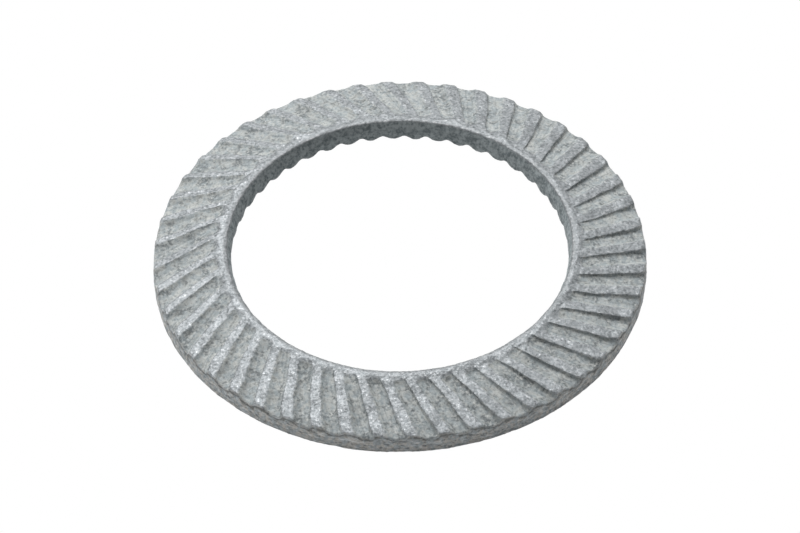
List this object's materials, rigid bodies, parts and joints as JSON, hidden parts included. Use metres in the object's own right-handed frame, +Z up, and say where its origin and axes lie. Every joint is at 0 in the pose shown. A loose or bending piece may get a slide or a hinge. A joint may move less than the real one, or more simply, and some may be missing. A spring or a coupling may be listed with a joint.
{
  "type": "ribbed conical lock washer",
  "caption": "Dished spring-steel lock washer with slanted coined ribs on both faces that bite against a turning screw head or nut.",
  "frame": {"origin": "centre of the circle on which the outer edge rests, on the bore's axis", "axes": "+Z up along the bore, from the resting edge towards the raised bore edge; +X along the grooves that lie beside the axis"},
  "size_m": [0.03, 0.03, 0.0025],
  "materials": {
    "coated_steel": "matte grey zinc-flake coating, slightly rough and speckled"
  },
  "bodies": {
    "root": {"lock_washer": "coated_steel"}
  },
  "joints": []
}
